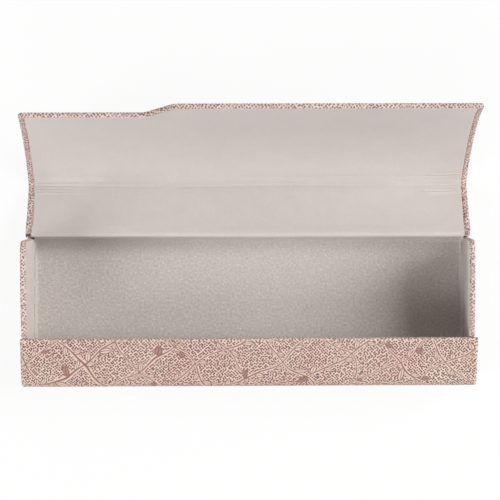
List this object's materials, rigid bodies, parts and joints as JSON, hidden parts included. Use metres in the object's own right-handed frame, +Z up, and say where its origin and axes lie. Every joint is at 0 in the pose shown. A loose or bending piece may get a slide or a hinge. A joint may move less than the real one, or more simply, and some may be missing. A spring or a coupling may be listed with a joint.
{
  "type": "glasses case",
  "caption": "Hard glasses case lying open: a low tray with flat end pieces and a sloping front panel, and a curved lid with a stepped front edge on a cloth hinge along the back.",
  "frame": {"origin": "middle of the flat underside of the tray, on the surface that the case stands on", "axes": "+X along the case, +Y from the front panel to the hinge, +Z up"},
  "size_m": [0.165, 0.1003, 0.0472],
  "materials": {
    "printed_cover": "matt coated cloth, printed",
    "lining": "short suede nap",
    "shell": "matt",
    "board": "plain grey board",
    "magnet": "nickel plated"
  },
  "bodies": {
    "tray": {"tray_cover": "printed_cover", "tray_shell": "shell", "tray_lining": "lining", "front_magnet_left": "magnet", "front_magnet_right": "magnet", "end_cover_left": "printed_cover", "end_cover_right": "printed_cover", "end_board_left": "board", "end_board_right": "board", "end_lining_left": "lining", "end_lining_right": "lining", "hinge_cloth_tray": "printed_cover"},
    "lid": {"lid_cover": "printed_cover", "lid_shell": "shell", "lid_lining": "lining", "lid_magnet_left": "magnet", "lid_magnet_right": "magnet", "hinge_cloth_lid": "printed_cover"}
  },
  "joints": [
    {"name": "lid_hinge", "type": "hinge", "parent": "tray", "child": "lid", "pos_m": [0, 0.02741, 0.0122], "axis": [1, 0, 0], "range_deg": [0, 126.9]}
  ]
}
